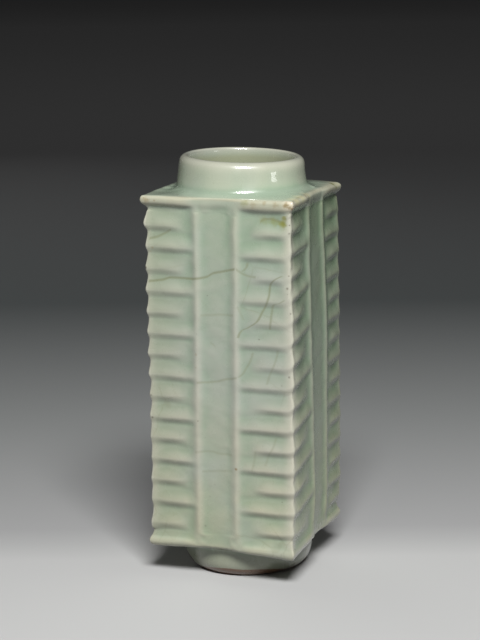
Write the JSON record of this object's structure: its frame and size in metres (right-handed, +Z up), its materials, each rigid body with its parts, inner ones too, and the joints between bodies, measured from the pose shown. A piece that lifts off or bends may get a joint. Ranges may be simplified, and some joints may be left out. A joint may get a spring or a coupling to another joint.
{
  "type": "cong vase",
  "caption": "Square ceramic vase with ribbed, tiered walls in pale green celadon glaze, a round neck that takes stems or a plug, and a round foot to stand on.",
  "frame": {"origin": "middle of the foot's rest face, on the surface that the vase stands on", "axes": "+Z up along the axis of the neck and foot, -Y out of the front wall, +X out of the right wall"},
  "size_m": [0.0968, 0.0968, 0.26],
  "materials": {
    "celadon": "glossy crackled celadon glaze",
    "celadon_inside": "thin celadon glaze",
    "foot_stoneware": "celadon glaze with a bare brown rim"
  },
  "bodies": {
    "root": {"foot_ring": "foot_stoneware", "base_slab": "celadon", "front_wall": "celadon", "right_wall": "celadon", "back_wall": "celadon", "left_wall": "celadon", "floor_coil_front": "celadon_inside", "floor_coil_right": "celadon_inside", "floor_coil_back": "celadon_inside", "floor_coil_left": "celadon_inside", "corner_coil_front_right": "celadon_inside", "corner_coil_back_right": "celadon_inside", "corner_coil_back_left": "celadon_inside", "corner_coil_front_left": "celadon_inside", "shoulder_slab": "celadon", "neck_ring": "celadon"}
  },
  "joints": []
}
